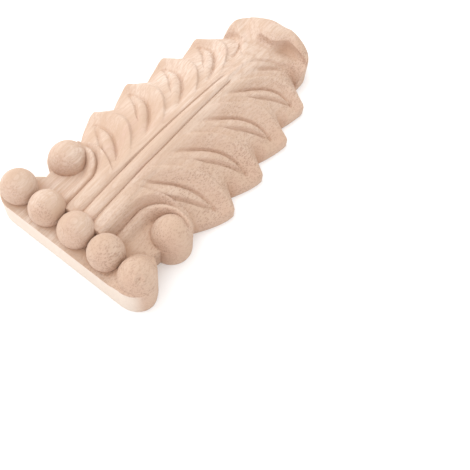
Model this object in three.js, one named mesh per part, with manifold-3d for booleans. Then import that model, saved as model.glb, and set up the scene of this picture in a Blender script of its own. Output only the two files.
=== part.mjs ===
// A carved wood applique: an acanthus leaf that grows out of a row of five balls on a
// rounded plate, with a scroll at each side of its neck and a tip that curls over.
// It is one piece of wood. It lies face up: X runs across it, Y from the plate to the
// tip, and Z out of its flat back. The origin is in the middle of the back.
import * as THREE from "three";
import Module from "manifold-3d";

const wasm = await Module();
wasm.setup();

// Whole piece, in millimetres. Distances "along" count from the plate's end face.
const overallLength = 120.3;
const leafEdgeHeight = 4.3;
const buriedHeight = 2;

// Plate under the balls, and the neck behind it
const plateWidth = 62.8;
const plateEndWidth = 47;
const plateWidestAlong = 6.5;
const plateHeight = 9.8;
const neckWidth = 46.6;
const neckAlong = 16.8;
const neckBend = 1.8;
const groundHeight = 8.2;

// Row of balls, which fills the plate's width but for a narrow ledge at each end
const ballCount = 5;
const ballGap = 0.3;
const ballEndLedge = 0.6;
const ballFrontLedge = 0.9;
const ballEquatorHeight = 12.6;
const ballTuckAngle = 26;
const ballPitch = (plateWidth - 2 * ballEndLedge + ballGap) / ballCount;
const ballRadius = (ballPitch - ballGap) / 2;
const ballRowAlong = ballFrontLedge + ballRadius;

// Skirt that flares from the last ball to the plate's rounded corner
const skirtTopHeight = 12.2;

// Scroll at each side: a ball on a rounded corner of the outline, with a band that runs up
// beside the neck, curls over in part of an ellipse and ends in the ball
const scrollOffset = 22.4;
const scrollAlong = 26.3;
const scrollRadius = 6.8;
const scrollOutlineRadius = 7;
const scrollEquatorHeight = 7.6;
const bandCentreSide = 20.6;
const bandCentreAlong = 23.4;
const bandReach = 9.9;
const bandRise = 9;
const bandInsideReach = 0.93;
const bandOutsideReach = 1.03;
const bandFootAlong = 9.5;
const bandOuterWidth = 2.2;
const bandInnerWidth = 2.8;
const bandFootHeight = 9.6;
const bandTopHeight = 13;
const bandLeaveAngle = 52;
const bandEndAngle = 5;
const bandEndRadius = 3.4;
const bandOuterWidthAtEnd = 1;

// Leaf: the outline's notches and lobe tips on one side, from the scroll to the end lobe.
// They are drawn for a piece of this length with a plate of this width, and follow both.
const drawnLength = 120.3;
const drawnPlateWidth = 62.8;
const drawnNotchAlong = [34.5, 52.9, 69.9, 87, 104];
const drawnNotchHalfWidth = [25.4, 26.5, 25.4, 22.9, 16.9];
const drawnTipAlong = [47.9, 65.2, 83, 98.6];
const drawnTipHalfWidth = [31.6, 30.9, 28.9, 25.3];
const notchAlong = drawnNotchAlong.map((along) => along * overallLength / drawnLength);
const notchHalfWidth = drawnNotchHalfWidth.map((half) => half * plateWidth / drawnPlateWidth);
const tipAlong = drawnTipAlong.map((along) => along * overallLength / drawnLength);
const tipHalfWidth = drawnTipHalfWidth.map((half) => half * plateWidth / drawnPlateWidth);
const lobeRisingBend = 1.5;
const lobeFallingBend = 1.6;
const endLobeHalfWidth = 17.4;
const endLobeRoundLength = 11.3;
const endLobeWidestAlong = overallLength - endLobeRoundLength;
const tipFlatHalfWidth = 1.8;
const tipRoundness = 2.2;

// Leaf: the lines that sweep from the rib out to the edge start this far behind it
const sweepAtFirstNotch = 13.5;
const sweepAtLastNotch = 17.8;
const sweepArch = 0.27;

// Leaf: its neck starts between the balls and has a raised strip at each side of the rib
const stalkStartAlong = 9;
const stripOffsetLow = 5.2;
const stripOffsetHigh = 4;
const stripHalfWidth = 2.2;
const stripRise = 0.6;
const stripEndAlong = 45;

// Leaf: heights across its back. Each lobe lies over the next one: it rises from a hollow
// to a crest that ends at the lobe's tip, and drops behind it.
const crownHeight = 16;
const crownAlong = 48;
const crownRoundness = 1.9;
const tipHollowHeight = 9.6;
const lobeDish = 2;
const lobeValley = 1.2;
const valleyRun = 0.5;
const hollowPlaceAtRib = 0.27;
const reliefStartsAcross = 0.3;
const reliefLostAtEdge = 0.45;

// Leaf: the raised vein in each lobe's hollow, as shares of the lobe's length and width
const veinRise = 1.2;
const veinPlaceAtRib = 0.12;
const veinPlaceAtEdge = 0.43;
const veinHalfAtRib = 0.2;
const veinEndAcross = 0.8;

// Rib down the middle, and the two furrows beside it
const ribHalfWidthLow = 2.3;
const ribHalfWidthHigh = 1.5;
const ribRise = 0.9;
const furrowDepth = 0.9;
const furrowWidth = 0.8;
const furrowEndAlong = 85.5;
const crestEndAlong = endLobeWidestAlong;

// End lobe: its rim is higher than the leaf's edge, and higher again round the lip
const endRimHeight = 8;
const lobeRimRun = 3;
const lipRimHeight = 9.4;
const lipRimRun = 4;
const endHollow = 1.3;
const endHollowStart = 0.3;
const endHollowSkew = 0.7;

// Lip where the tip curls over. On the right it has a free edge with an arch in it, and on
// the left the leaf folds up into it along a line that bends forward to the outline.
const lipLength = 8.3;
const lipEdgeAlong = overallLength - lipLength;
const lipMiddleAhead = -2.2;
const lipArch = 4.1;
const lipArchPlace = 0.34;
const foldLength = 3;
const foldEdgeAlong = overallLength - foldLength;
const foldPower = 1.5;
const foldReach = 6.2;
const foldReachAtEdge = 3.2;
const overhangReach = 2.6;
const overhangShare = 0.55;
const lipHeight = 14.2;
const lipSideHeight = 11;
const lipFreeShare = 0.78;
const lipCrestPlace = 0.42;
const lipStep = 0.3;

// How finely the surfaces are divided
const acrossSteps = 14;
const lipSteps = 8;
const roundSides = 22;
const domeRings = 5;

const woodColour = 0xcdbba9;

const clamp = (value, low, high) => Math.min(high, Math.max(low, value));
const mix = (from, to, share) => from + (to - from) * share;
const ease = (from, to, value) => {
  const share = clamp((value - from) / (to - from), 0, 1);
  return share * share * (3 - 2 * share);
};

const lastNotch = notchAlong[notchAlong.length - 1];
const firstNotch = notchAlong[0];

// Half the outline's width at a distance along the piece
function halfWidth(along) {
  if (along <= plateWidestAlong) {
    const share = 1 - along / plateWidestAlong;
    return mix(plateEndWidth / 2, plateWidth / 2, Math.sqrt(1 - share * share));
  }
  if (along <= neckAlong) {
    const share = (along - plateWidestAlong) / (neckAlong - plateWidestAlong);
    return mix(plateWidth / 2, neckWidth / 2, share ** neckBend);
  }
  if (along <= firstNotch) {
    const reach = scrollOutlineRadius ** 2 - (along - scrollAlong) ** 2;
    const bulge = scrollOffset + Math.sqrt(Math.max(0, reach));
    const share = (along - neckAlong) / (firstNotch - neckAlong);
    return Math.max(bulge, mix(neckWidth / 2, notchHalfWidth[0], share));
  }
  if (along <= lastNotch) {
    const lobe = lobeAt(along);
    if (along <= tipAlong[lobe]) {
      const share = (along - notchAlong[lobe]) / (tipAlong[lobe] - notchAlong[lobe]);
      return mix(notchHalfWidth[lobe], tipHalfWidth[lobe], 1 - (1 - share) ** lobeRisingBend);
    }
    const share = (along - tipAlong[lobe]) / (notchAlong[lobe + 1] - tipAlong[lobe]);
    return mix(tipHalfWidth[lobe], notchHalfWidth[lobe + 1], share ** lobeFallingBend);
  }
  if (along <= endLobeWidestAlong) {
    const share = (along - lastNotch) / (endLobeWidestAlong - lastNotch);
    const low = notchHalfWidth[notchHalfWidth.length - 1];
    return mix(low, endLobeHalfWidth, 1 - (1 - share) ** 2);
  }
  const share = Math.min(1, (along - endLobeWidestAlong) / (overallLength - endLobeWidestAlong));
  const round = (1 - share ** tipRoundness) ** (1 / tipRoundness);
  return mix(tipFlatHalfWidth, endLobeHalfWidth, round);
}

// Where a row ends on the outline. Rows are counted on the right, and on the left the lip
// starts further forward.
function rowEnd(edgeAlong, sign) {
  if (sign > 0 || edgeAlong < lastNotch) return edgeAlong;
  if (edgeAlong < lipEdgeAlong) {
    const share = (edgeAlong - lastNotch) / (lipEdgeAlong - lastNotch);
    return mix(lastNotch, foldEdgeAlong, share);
  }
  const share = (edgeAlong - lipEdgeAlong) / (overallLength - lipEdgeAlong);
  return mix(foldEdgeAlong, overallLength, share);
}

function lobeAt(along) {
  let lobe = 0;
  while (lobe < tipAlong.length - 1 && along > notchAlong[lobe + 1]) lobe += 1;
  return lobe;
}

// The leaf's width without its notches, which only the outer part of a row follows
function smoothHalfWidth(along) {
  const last = tipHalfWidth.length - 1;
  const bow = (along - tipAlong[0]) / (tipAlong[last] - tipAlong[0]);
  const low = (tipHalfWidth[0] + notchHalfWidth[1]) / 2;
  const high = (tipHalfWidth[last] + notchHalfWidth[last + 1]) / 2;
  const leaf = along < tipAlong[0] ? low : mix(low, high, bow ** 2);
  return mix(leaf, halfWidth(along), ease(tipAlong[last], endLobeWidestAlong, along));
}

// How far behind its end on the outline a row of the leaf leaves the rib
function sweepAt(edgeAlong) {
  if (edgeAlong < notchAlong[1]) {
    return sweepAtFirstNotch * ease(neckAlong, notchAlong[1], edgeAlong);
  }
  const share = clamp((edgeAlong - notchAlong[1]) / (lastNotch - notchAlong[1]), 0, 1);
  return mix(sweepAtFirstNotch, sweepAtLastNotch, share ** 2);
}

// How far ahead of its end on the outline the lip's free edge runs, on the right
function freeEdgeAhead(across) {
  const fall = clamp((across - lipArchPlace) / (1 - lipArchPlace), 0, 1) ** foldPower;
  const arch = lipArch * (1 - ease(0, lipArchPlace, across));
  return (lipMiddleAhead + lipArch) * (1 - fall) - arch;
}

// Where a point of a row is along the piece: rows sweep forward on the leaf, and follow
// the lip's edge at the tip
function alongRow(across, edgeAlong, sign) {
  const curve = 1 - (1 - across) ** 2 + sweepArch * Math.sin(Math.PI * across);
  const sweep = sweepAt(edgeAlong);
  const atLip = ease(lastNotch, lipEdgeAlong, edgeAlong);
  const left = clamp((overallLength - edgeAlong) / (overallLength - lipEdgeAlong), 0, 1);
  if (sign > 0) return edgeAlong - mix(sweep * (1 - curve), -freeEdgeAhead(across) * left, atLip);
  const middle = edgeAlong - mix(sweep, -lipMiddleAhead * left, atLip);
  return mix(middle, rowEnd(edgeAlong, sign), mix(curve, across ** foldPower, atLip));
}

const ribHalfWidth = (along) => {
  const share = clamp((along - crownAlong) / (furrowEndAlong - crownAlong), 0, 1.6);
  return mix(ribHalfWidthLow, ribHalfWidthHigh, share);
};

// Height of the leaf's shoulders beside the rib
function shoulderHeight(along) {
  const share = (along - crownAlong) / (lipEdgeAlong - crownAlong);
  return mix(crownHeight, tipHollowHeight, share * share);
}

// Where the ground beside the neck lies: 1 inside the scroll's band, 0 on the leaf
function insideBand(side, along) {
  const sideways = (bandCentreSide - side) / bandReach;
  const upwards = Math.max(0, along - bandCentreAlong) / bandRise;
  const reach = Math.hypot(sideways, upwards);
  if (along > firstNotch) return 0;
  if (side > bandCentreSide && along < scrollAlong) return 1;
  return 1 - ease(bandInsideReach, bandOutsideReach, reach);
}

// The leaf's relief: overlapping lobes, each with a raised vein in its hollow
function lobeRelief(across, edgeAlong) {
  if (edgeAlong < firstNotch) return 0;
  if (edgeAlong > lastNotch) {
    const share = clamp((edgeAlong - lastNotch) / (lipEdgeAlong - lastNotch), 0, 1);
    const valley = lobeValley * (1 - ease(0, valleyRun, share)) * ease(0, reliefStartsAcross, across);
    const hollow = endHollow * ease(endHollowStart, 1, share);
    return -valley - hollow * Math.sin(Math.PI * across ** endHollowSkew);
  }
  const lobe = lobeAt(edgeAlong);
  const low = notchAlong[lobe];
  const high = notchAlong[lobe + 1];
  const share = (edgeAlong - low) / (high - low);
  const crest = (tipAlong[lobe] - low) / (high - low);
  const hollow = mix(hollowPlaceAtRib, veinPlaceAtEdge, across);
  let relief = mix(-lobeValley, -lobeDish, ease(0, hollow, share));
  if (share > hollow) relief = mix(-lobeDish, 0, ease(hollow, crest, share));
  if (share > crest) relief = -lobeValley * ease(crest, mix(crest, 1, valleyRun), share);
  const fade = ease(0, reliefStartsAcross, across);
  relief *= fade * (1 - reliefLostAtEdge * across ** 4);
  if (across >= veinEndAcross) return relief;
  const centre = mix(veinPlaceAtRib, veinPlaceAtEdge, across);
  const half = veinHalfAtRib * (1 - across / veinEndAcross);
  const off = Math.min(1, Math.abs(share - centre) / half);
  return relief + veinRise * (1 - off) * fade;
}

// Height of the carved face. Side is the distance from the middle line, across is 0 at
// the furrow and 1 at the edge, edgeAlong is where the row meets the edge on the right,
// and sign is 1 on the right and -1 on the left.
function faceHeight(side, along, across, edgeAlong, sign) {
  const leaf = leafHeight(side, along, across, edgeAlong, sign);
  if (edgeAlong > lastNotch) return endHeight(leaf, along, across, edgeAlong, sign);
  const carved = mix(leaf, groundHeight, insideBand(side, along));
  return mix(plateHeight, carved, ease(stalkStartAlong, stalkStartAlong + 1.5, along));
}

function leafHeight(side, along, across, edgeAlong, sign) {
  const shoulder = shoulderHeight(along);
  const rib = ribHalfWidth(along);
  const furrow = furrowDepth * (1 - ease(furrowEndAlong - 2, furrowEndAlong + 1, along));
  const rise = ribRise * (1 - ease(furrowEndAlong - 8, crestEndAlong, along));
  if (across === 0 && side < rib + furrowWidth / 2) {
    const round = Math.sqrt(Math.max(0, 1 - (side / rib) ** 2));
    return shoulder - furrow + (rise + furrow) * round;
  }
  const rim = endRim(edgeAlong, sign);
  const edge = mix(groundHeight, rim, ease(neckAlong, firstNotch, along));
  const stripSide = mix(stripOffsetLow, stripOffsetHigh, ease(neckAlong, stripEndAlong, along));
  const off = Math.min(1, Math.abs(side - stripSide) / stripHalfWidth);
  const strip = stripRise * (1 - off * off) * (1 - ease(firstNotch, stripEndAlong, along));
  return mix(shoulder, edge, across ** crownRoundness) + strip + lobeRelief(across, edgeAlong);
}

// Height of the outline, which is the leaf's edge until the end lobe
function endRim(edgeAlong, sign) {
  const end = rowEnd(edgeAlong, sign);
  const lobe = mix(leafEdgeHeight, endRimHeight, ease(lastNotch, lastNotch + lobeRimRun, end));
  return mix(lobe, lipRimHeight, ease(endLobeWidestAlong, endLobeWidestAlong + lipRimRun, end));
}

// The lip's section: it rises a little from its free edge, then rounds down to the outline
function lipSection(share) {
  const front = mix(lipFreeShare, 1, Math.sin((Math.PI / 2) * clamp(share / lipCrestPlace, 0, 1)));
  const back = clamp((share - lipCrestPlace) / (1 - lipCrestPlace), 0, 1);
  return front * (1 - back ** tipRoundness) ** (1 / tipRoundness);
}

// The end lobe: the leaf's surface where it rises to the lip, and the lip itself
function endHeight(leaf, along, across, edgeAlong, sign) {
  const base = mix(lipRimHeight, endRim(edgeAlong, sign), across ** 4);
  const crest = mix(lipHeight, lipSideHeight, across ** 2);
  const full = Math.sqrt(1 - across ** 5);
  if (edgeAlong > lipEdgeAlong) {
    const share = (edgeAlong - lipEdgeAlong) / (overallLength - lipEdgeAlong);
    return mix(base, crest, lipSection(share) * full);
  }
  const behind = alongRow(across, lipEdgeAlong, sign) - along;
  const sharp = sign > 0 ? 1 - ease(0.9, 1, across) : 1 - ease(0, 0.25, across);
  const reach = mix(mix(foldReach, foldReachAtEdge, across), overhangReach, sharp);
  const rise = (1 - overhangShare * sharp) * clamp(1 - behind / reach, 0, 1) ** 2;
  return mix(leaf, mix(base, crest, lipFreeShare * full), rise * full);
}

// Distances along the edge at which the rows of the surface are laid
function rowStations() {
  const stations = [];
  const add = (from, to, steps) => {
    for (let step = 0; step < steps; step += 1) {
      stations.push(mix(from, to, step / steps));
    }
  };
  const addRound = (from, to, steps) => {
    for (let step = 0; step < steps; step += 1) {
      stations.push(mix(from, to, 1 - Math.cos((Math.PI / 2) * (step / steps))));
    }
  };
  addRound(0, plateWidestAlong, 4);
  add(plateWidestAlong, stalkStartAlong, 2);
  add(stalkStartAlong, neckAlong, 6);
  add(neckAlong, firstNotch, 11);
  for (let lobe = 0; lobe < tipAlong.length; lobe += 1) {
    add(notchAlong[lobe], tipAlong[lobe], 9);
    add(tipAlong[lobe], notchAlong[lobe + 1], 4);
  }
  add(lastNotch, lipEdgeAlong - lipStep, 10);
  stations.push(lipEdgeAlong - lipStep, lipEdgeAlong + 1e-3);
  for (let step = 1; step <= lipSteps; step += 1) {
    stations.push(mix(lipEdgeAlong, overallLength, Math.sin((Math.PI / 2) * (step / lipSteps))));
  }
  return stations;
}

// Places across one row, from the middle line to the right edge
function columnPlaces() {
  const places = [0, 0.45, 0.8, 1].map((share) => ({ rib: share, across: 0 }));
  for (let step = 0; step <= acrossSteps; step += 1) {
    places.push({ rib: null, across: step / acrossSteps });
  }
  return places;
}

function rowPoint(place, edgeAlong, sign) {
  const end = rowEnd(edgeAlong, sign);
  const edge = halfWidth(end);
  const smooth = smoothHalfWidth(end);
  const across = place.across;
  const along = alongRow(across, edgeAlong, sign);
  const rib = Math.min(ribHalfWidth(along), edge / 3);
  const furrow = Math.min(furrowWidth, edge / 6);
  if (place.rib !== null) {
    const side = rib * place.rib;
    return { side, along, height: faceHeight(side, along, 0, edgeAlong, sign) };
  }
  const start = rib + furrow;
  const side = start + (smooth - start) * across + (edge - smooth) * across ** 5;
  return { side, along, height: faceHeight(side, along, across, edgeAlong, sign) };
}

// A closed solid from a list of points and a list of triangles
function solidFrom(points, triangles) {
  const vertProperties = new Float32Array(points.flat());
  const triVerts = new Uint32Array(triangles.flat());
  return new wasm.Manifold(new wasm.Mesh({ numProp: 3, vertProperties, triVerts }));
}

// The body: a carved face over a flat back, with an upright edge between them
function makeBody() {
  const half = columnPlaces();
  const places = [...half.slice(1).reverse().map((place) => ({ place, sign: -1 })),
    ...half.map((place) => ({ place, sign: 1 }))];
  const stations = rowStations();
  const wide = places.length;
  const points = [];
  const triangles = [];
  stations.forEach((edgeAlong) => {
    places.forEach(({ place, sign }) => {
      const { side, along, height } = rowPoint(place, edgeAlong, sign);
      points.push([sign * side, along - overallLength / 2, height]);
    });
  });
  const top = (row, column) => row * wide + column;
  const firstBack = points.length;
  stations.forEach((edgeAlong) => {
    [-1, 1].forEach((sign) => {
      const end = rowEnd(edgeAlong, sign);
      points.push([sign * halfWidth(end), end - overallLength / 2, 0]);
    });
  });
  const backLeft = (row) => firstBack + 2 * row;
  const backRight = (row) => firstBack + 2 * row + 1;
  const quad = (a, b, c, d) => triangles.push([a, b, c], [a, c, d]);
  const last = stations.length - 1;
  for (let row = 0; row < last; row += 1) {
    for (let column = 0; column < wide - 1; column += 1) {
      const a = top(row, column);
      const b = top(row, column + 1);
      const c = top(row + 1, column + 1);
      const d = top(row + 1, column);
      if (column < (wide - 1) / 2) triangles.push([a, b, d], [b, c, d]);
      else triangles.push([a, b, c], [a, c, d]);
    }
    quad(backLeft(row), backLeft(row + 1), backRight(row + 1), backRight(row));
    quad(backLeft(row), top(row, 0), top(row + 1, 0), backLeft(row + 1));
    quad(backRight(row + 1), top(row + 1, wide - 1), top(row, wide - 1), backRight(row));
  }
  for (let column = 0; column < wide - 1; column += 1) {
    triangles.push([backLeft(0), top(0, column + 1), top(0, column)]);
    triangles.push([backRight(last), top(last, column), top(last, column + 1)]);
  }
  triangles.push([backLeft(0), backRight(0), top(0, wide - 1)]);
  triangles.push([backRight(last), backLeft(last), top(last, 0)]);
  return solidFrom(points, triangles);
}

// A solid turned about an upright axis, from pairs of radius and height that start at
// the bottom centre and end at the top centre
function turned(profile, side, along, sides) {
  const points = [[side, along - overallLength / 2, profile[0][1]]];
  const rings = profile.slice(1, -1);
  rings.forEach(([radius, height]) => {
    for (let step = 0; step < sides; step += 1) {
      const angle = (2 * Math.PI * step) / sides;
      points.push([side + radius * Math.cos(angle),
        along + radius * Math.sin(angle) - overallLength / 2, height]);
    }
  });
  const crown = points.length;
  points.push([side, along - overallLength / 2, profile[profile.length - 1][1]]);
  const triangles = [];
  const at = (ring, step) => 1 + ring * sides + (step % sides);
  for (let step = 0; step < sides; step += 1) {
    triangles.push([0, at(0, step + 1), at(0, step)]);
    for (let ring = 0; ring < rings.length - 1; ring += 1) {
      triangles.push([at(ring, step), at(ring, step + 1), at(ring + 1, step + 1)]);
      triangles.push([at(ring, step), at(ring + 1, step + 1), at(ring + 1, step)]);
    }
    triangles.push([at(rings.length - 1, step), at(rings.length - 1, step + 1), crown]);
  }
  return solidFrom(points, triangles);
}

// A round-topped stud: half a sphere above its equator, and below it upright, or tucked in
// through an angle first
function makeStud(radius, equator, tuckAngle, side, along) {
  const first = -THREE.MathUtils.degToRad(tuckAngle);
  const profile = [[0, buriedHeight], [radius * Math.cos(first), buriedHeight]];
  if (tuckAngle > 0) profile.push([radius * Math.cos(first), equator + radius * Math.sin(first)]);
  for (let ring = 0; ring < domeRings; ring += 1) {
    const angle = ((Math.PI / 2) * ring) / domeRings;
    profile.push([radius * Math.cos(angle), equator + radius * Math.sin(angle)]);
  }
  profile.push([0, equator + radius]);
  return turned(profile, side, along, roundSides);
}

function makeSkirt(side, along) {
  const reach = plateWidth / 2 - side;
  const profile = [[0, buriedHeight], [reach, buriedHeight], [reach, plateHeight],
    [ballRadius, skirtTopHeight], [0, skirtTopHeight + 0.5]];
  return turned(profile, side, along, roundSides);
}

// The scroll's band, swept along its path
function makeBand(sign) {
  const straightSteps = 4;
  const curvedSteps = 10;
  const closingSteps = 5;
  const path = [];
  for (let step = 0; step < straightSteps; step += 1) {
    const share = step / straightSteps;
    path.push({ side: bandCentreSide - bandReach, along: mix(bandFootAlong, bandCentreAlong, share),
      outward: [-1, 0] });
  }
  for (let step = 0; step <= curvedSteps; step += 1) {
    const angle = THREE.MathUtils.degToRad(mix(180, bandLeaveAngle, step / curvedSteps));
    const outward = new THREE.Vector2(Math.cos(angle) / bandReach, Math.sin(angle) / bandRise);
    outward.normalize();
    path.push({ side: bandCentreSide + bandReach * Math.cos(angle),
      along: bandCentreAlong + bandRise * Math.sin(angle), outward: outward.toArray() });
  }
  const leave = path[path.length - 1];
  const leaveRadius = Math.hypot(leave.side - scrollOffset, leave.along - scrollAlong);
  const leaveAngle = Math.atan2(leave.along - scrollAlong, leave.side - scrollOffset);
  for (let step = 1; step <= closingSteps; step += 1) {
    const share = step / closingSteps;
    const angle = mix(leaveAngle, THREE.MathUtils.degToRad(bandEndAngle), share);
    const radius = mix(leaveRadius, bandEndRadius, share);
    path.push({ side: scrollOffset + radius * Math.cos(angle),
      along: scrollAlong + radius * Math.sin(angle), outward: [Math.cos(angle), Math.sin(angle)] });
  }
  const points = [];
  path.forEach(({ side, along, outward }, index) => {
    const share = index / (path.length - 1);
    const crest = mix(bandFootHeight, bandTopHeight, Math.sin((Math.PI / 2) * share));
    const outer = mix(bandOuterWidth, bandOuterWidthAtEnd, ease(0.45, 0.75, share));
    const section = [[-1, buriedHeight - crest], [-1, -2.2], [-0.5, -0.7], [0, 0], [0.6, -0.5],
      [1, -1.6], [1, buriedHeight - crest]];
    section.forEach(([out, drop]) => {
      const reach = out * (out < 0 ? bandInnerWidth : outer);
      points.push([sign * (side + reach * outward[0]),
        along + reach * outward[1] - overallLength / 2, crest + drop]);
    });
  });
  const ring = 7;
  const triangles = [];
  const add = (a, b, c) => triangles.push(sign > 0 ? [a, b, c] : [a, c, b]);
  for (let index = 0; index < path.length - 1; index += 1) {
    for (let corner = 0; corner < ring; corner += 1) {
      const a = index * ring + corner;
      const b = index * ring + ((corner + 1) % ring);
      add(a, b + ring, b);
      add(a, a + ring, b + ring);
    }
  }
  const end = (path.length - 1) * ring;
  for (let corner = 1; corner < ring - 1; corner += 1) {
    add(0, corner, corner + 1);
    add(end, end + corner + 1, end + corner);
  }
  return solidFrom(points, triangles);
}

function makeApplique() {
  let solid = makeBody();
  for (let ball = 0; ball < ballCount; ball += 1) {
    const side = (ball - (ballCount - 1) / 2) * ballPitch;
    solid = solid.add(makeStud(ballRadius, ballEquatorHeight, ballTuckAngle, side, ballRowAlong));
    if (ball === ballCount - 1) solid = solid.add(makeSkirt(side, ballRowAlong));
  }
  [-1, 1].forEach((sign) => {
    solid = solid.add(makeBand(sign));
    const side = sign * scrollOffset;
    solid = solid.add(makeStud(scrollRadius, scrollEquatorHeight, 0, side, scrollAlong));
  });
  return solid;
}

function meshOf(solid, name, material) {
  const { numProp, vertProperties, triVerts } = solid.getMesh();
  const position = new Float32Array((vertProperties.length / numProp) * 3);
  for (let index = 0; index < position.length / 3; index += 1) {
    position.set(vertProperties.subarray(index * numProp, index * numProp + 3), index * 3);
  }
  const geometry = new THREE.BufferGeometry();
  geometry.setAttribute("position", new THREE.BufferAttribute(position, 3));
  geometry.setIndex(new THREE.BufferAttribute(triVerts, 1));
  geometry.computeVertexNormals();
  const mesh = new THREE.Mesh(geometry, material);
  mesh.name = name;
  return mesh;
}

const wood = new THREE.MeshStandardMaterial({ color: woodColour, roughness: 0.75, metalness: 0 });
const group = new THREE.Group();
group.add(meshOf(makeApplique(), "carved_applique", wood));

export default group;
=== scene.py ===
import math

import bpy
import numpy as np
from mathutils import Matrix, Vector


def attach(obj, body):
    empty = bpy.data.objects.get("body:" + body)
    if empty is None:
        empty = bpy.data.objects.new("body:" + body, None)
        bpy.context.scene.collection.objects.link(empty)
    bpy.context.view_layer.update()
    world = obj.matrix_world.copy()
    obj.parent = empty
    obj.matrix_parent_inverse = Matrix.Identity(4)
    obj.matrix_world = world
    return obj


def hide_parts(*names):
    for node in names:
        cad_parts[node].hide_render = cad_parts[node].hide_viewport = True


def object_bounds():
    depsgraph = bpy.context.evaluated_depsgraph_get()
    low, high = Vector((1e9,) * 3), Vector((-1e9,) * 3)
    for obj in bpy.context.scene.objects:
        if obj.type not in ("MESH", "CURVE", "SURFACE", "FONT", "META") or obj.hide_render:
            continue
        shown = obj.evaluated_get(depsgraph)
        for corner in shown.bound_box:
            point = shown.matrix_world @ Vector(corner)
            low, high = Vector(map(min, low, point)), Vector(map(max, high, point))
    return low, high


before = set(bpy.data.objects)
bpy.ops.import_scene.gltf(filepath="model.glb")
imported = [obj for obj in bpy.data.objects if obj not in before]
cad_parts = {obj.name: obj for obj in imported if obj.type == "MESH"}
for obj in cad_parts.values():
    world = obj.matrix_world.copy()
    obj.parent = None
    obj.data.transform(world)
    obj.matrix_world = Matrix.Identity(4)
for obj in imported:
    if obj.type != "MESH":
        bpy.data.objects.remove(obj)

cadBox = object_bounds()
mm = 0.001   # the carving below is worked out in millimetres
totalLength = (cadBox[1][1] - cadBox[0][1]) / mm

print("frame loaded, length", round(totalLength, 1), "mm")


def mix(low, high, share):
    return low + (high - low) * share


def ease(low, high, value):
    share = np.clip((value - low) / (high - low), 0, 1)
    return share * share * (3 - 2 * share)


# Plate under the balls, and the neck behind it. "along" counts from the plate's end face.
plate = {
    "width": 62.8,
    "endWidth": 47.0,
    "widestAlong": 6.5,
    "height": 9.8,
    "neckWidth": 46.6,
    "neckAlong": 16.8,
    "neckBend": 1.8,
    "groundHeight": 8.2,
    "arris": 0.7,
    "arrisDrop": 0.9,       # depth of the softened edge as a share of its width
    "cornerRun": 4.0,       # the painted light on the end face fades out over this run of the corner
}

balls = {
    "count": 5,
    "gap": 0.3,
    "endLedge": 0.6,
    "frontLedge": 0.9,
    "equator": 12.6,
    "tuck": 26.0,               # each ball curves in below its equator through this angle
    "skirtReach": 2.8,          # the last ball's skirt runs out this far over the corner
    "skirtTop": 12.2,
    "terraceStep": 0.8,
    "terraceDepth": 0.09,
    "markOffset": (3.0, -1.9),   # the small ring and pit on the last ball
    "rings": 34,
    "crownShare": 0.985,        # of the quarter turn up to the crown, which a flat disc closes
    "footHeight": 2.0,          # they start inside the plate
    "markRadius": 1.6,
    "markLine": 0.35,
    "markPit": (0.45, 2.2),     # its radius, and its depth as a share of the ring's
    "markDepth": 0.3,
    "sides": 88,
}

scroll = {
    "offset": 22.4,
    "along": 26.3,
    "radius": 6.8,
    "equator": 7.6,
    "rings": 26,
    "outlineRadius": 7.0,
}

# The band that curls over the scroll's ball: up beside the neck, over in part of an
# ellipse, then into the ball.
band = {
    "centre": (20.6, 23.4),
    "reach": 9.9,
    "rise": 9.0,
    "leaveAngle": 58.0,
    "endAngle": 20.0,
    "endRadius": 4.6,
    "outerHalf": 2.3,
    "innerHalf": 4.2,
    "innerHalfTop": 2.4,
    "narrowing": (0.35, 0.7),   # places between its foot, 0, and its end, 1
    "ridgeBend": 1.25,
    "footHeight": 9.6,
    "topHeight": 13.0,
    "topAt": 0.75,
    "pastNotch": 4.0,
    "leftDrop": 5.5,        # on the left the scroll's ball hides the end, so the crest sinks sooner
    "leftDropPlaces": (0.5, 0.78),
    "endDropFrom": 0.8,
    "endDrop": 3.4,         # the crest sinks into the ball by this at its end
    "valleyDepth": 2.1,     # of the line outside the crest
    "wallFrom": 0.0,        # the leaf comes down to the ground over this run outside the crest
    "wallTo": 3.3,
    "pathSteps": (24, 60, 20),  # up the neck, round the arch and into the ball
}

leaf = {
    "notchAlong": [34.5, 52.9, 69.9, 87.0, 104.0],
    "notchHalf": [25.4, 26.5, 25.4, 22.9, 16.9],
    "tipAlong": [47.9, 65.2, 83.0, 98.6],
    "tipHalf": [31.6, 30.9, 28.9, 25.3],
    "risingBend": 1.5,
    "fallingBend": 1.6,
    "edgeHeight": 4.3,
    "crown": 16.0,
    "crownAlong": 48.0,
    "crownBend": 1.9,
    "hollow": 9.6,
    "sweepLow": 13.5,
    "sweepHigh": 17.8,
    "arch": 0.27,
    "dish": 2.0,
    "valley": 1.2,
    "notchDip": 2.9,        # the right edge is cut down beside each notch, over this run
    "dipRun": 4.6,
    "dipBend": 5,           # how closely the low place keeps to the edge
    "pitDepth": 0.7,
    "pitRadius": 0.9,
    "pitPlace": (1.5, 0.4),  # inside the notch, and ahead of it
    "stalkStart": 9.0,
    "stalkRun": 1.2,
}

# Raised strip at each side of the rib, on the neck
strip = {
    "offset": 5.2,
    "topOffset": 4.0,
    "halfWidth": 2.2,
    "rise": 0.6,
    "gatherFrom": 20.0,
    "fadeFrom": 34.0,
    "fadeTo": 45.0,
}

rib = {
    "halfLow": 2.3,
    "halfHigh": 1.5,
    "rise": 0.8,
    "furrowDepth": 0.5,
    "furrowWidth": 0.5,
    "furrowEnd": 85.5,
    "furrowFade": (2.0, 0.6),   # before and after its end
    "crestFade": 6.0,
    "crestEnd": 109.0,
}

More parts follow.
